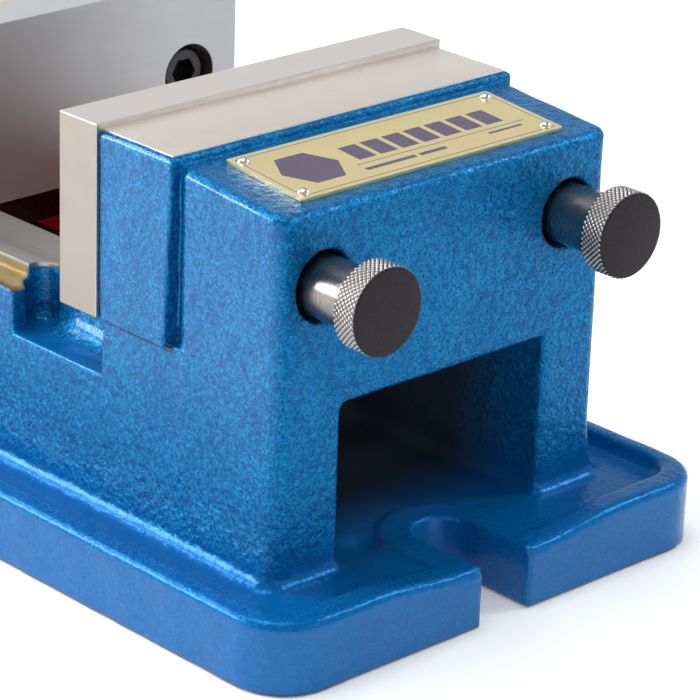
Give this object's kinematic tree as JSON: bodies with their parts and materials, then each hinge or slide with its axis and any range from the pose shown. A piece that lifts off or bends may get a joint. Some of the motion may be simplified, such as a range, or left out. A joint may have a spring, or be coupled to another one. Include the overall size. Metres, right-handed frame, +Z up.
{
  "type": "machine vise",
  "caption": "Machine vise with fixed and moving ground jaw plates, lead screw with crank, angular pull-down nut, guttered base and knurled draw screws.",
  "frame": {"origin": "on the underside of the base, at the middle of the base's length and width", "axes": "+X across the vise, +Y along the vise from the crank to the fixed jaw, +Z up"},
  "size_m": [0.169, 0.5558, 0.162],
  "materials": {
    "blue_enamel": "hammertone blue enamel over cast iron, ways and pads ground bare",
    "ground_steel": "hardened tool steel, surface ground",
    "black_oxide": "black oxide, lightly oiled",
    "seal_rubber": "nitrile rubber",
    "brass_sheet": "brushed brass sheet",
    "nickel_plate": "bright nickel plate",
    "nut_iron": "machined ductile iron",
    "bearing_steel": "hardened bearing steel",
    "brass_fitting": "turned brass",
    "felt": "oiled felt",
    "zinc_sheet": "zinc plated sheet steel",
    "screw_steel": "rolled and turned steel, oiled",
    "bronze": "sintered bronze",
    "grip_plastic": "black phenolic"
  },
  "bodies": {
    "bed": {"body_casting": "blue_enamel", "fixed_jaw_plate": "ground_steel", "nameplate": "brass_sheet", "nameplate_screws": "nickel_plate", "screw_support": "blue_enamel", "support_screws": "black_oxide", "support_bush": "bronze", "thrust_race_front": "bearing_steel", "drain_plugs": "black_oxide"},
    "carriage": {"moving_jaw": "blue_enamel", "moving_jaw_plate": "ground_steel", "jaw_plate_screws": "black_oxide", "angular_nut": "nut_iron", "half_ball": "bearing_steel", "jaw_set_screw": "black_oxide", "keeper_left": "bearing_steel", "keeper_right": "bearing_steel", "keeper_screws": "black_oxide", "oilers": "brass_fitting", "wiper_felts": "felt", "wiper_holders": "zinc_sheet", "wiper_screws": "nickel_plate"},
    "spindle": {"lead_screw": "screw_steel", "stop_ring": "black_oxide", "thrust_race_rear": "bearing_steel", "lock_collar": "black_oxide", "collar_set_screw": "black_oxide", "crank_arm": "black_oxide", "grip_spindle": "screw_steel", "grip_washer": "bearing_steel"},
    "thrust_set": {"thrust_cage": "brass_fitting", "thrust_balls": "bearing_steel"},
    "grip": {"crank_grip": "grip_plastic"},
    "seal_left": {"draw_seal_left": "seal_rubber"},
    "seal_right": {"draw_seal_right": "seal_rubber"},
    "draw_left": {"draw_screw_left": "black_oxide"},
    "draw_right": {"draw_screw_right": "black_oxide"}
  },
  "joints": [
    {"name": "screw_turn", "type": "hinge", "parent": "bed", "child": "spindle", "pos_m": [0, -0.187, 0.044], "axis": [0, 1, 0], "range_deg": [-6840, 5364]},
    {"name": "jaw_travel", "type": "slide", "parent": "bed", "child": "carriage", "axis": [0, 1, 0], "range_m": [-0.095, 0.0745]},
    {"name": "thrust_cage_turn", "type": "hinge", "parent": "bed", "child": "thrust_set", "pos_m": [0, -0.154, 0.044], "axis": [0, 1, 0], "range_deg": [-3420, 2682]},
    {"name": "grip_spin", "type": "hinge", "parent": "spindle", "child": "grip", "pos_m": [0, -0.289, 0.149], "axis": [0, 1, 0], "continuous": true},
    {"name": "draw_travel_left", "type": "slide", "parent": "bed", "child": "seal_left", "axis": [0, 1, 0], "range_m": [0, 0.012]},
    {"name": "draw_turn_left", "type": "hinge", "parent": "seal_left", "child": "draw_left", "pos_m": [0.04615, 0.193, 0.1012], "axis": [0, 1, 0], "range_deg": [0, 2160]},
    {"name": "draw_travel_right", "type": "slide", "parent": "bed", "child": "seal_right", "axis": [0, 1, 0], "range_m": [0, 0.012]},
    {"name": "draw_turn_right", "type": "hinge", "parent": "seal_right", "child": "draw_right", "pos_m": [-0.04615, 0.193, 0.1012], "axis": [0, 1, 0], "range_deg": [0, 2160]}
  ],
  "couplings": [
    {"joint": "jaw_travel", "follows": "screw_turn", "m_per_rad": 0.00079577},
    {"joint": "thrust_cage_turn", "follows": "screw_turn", "ratio": 0.5},
    {"joint": "draw_turn_left", "follows": "draw_travel_left", "rad_per_m": 3141.6},
    {"joint": "draw_turn_right", "follows": "draw_travel_right", "rad_per_m": 3141.6}
  ]
}
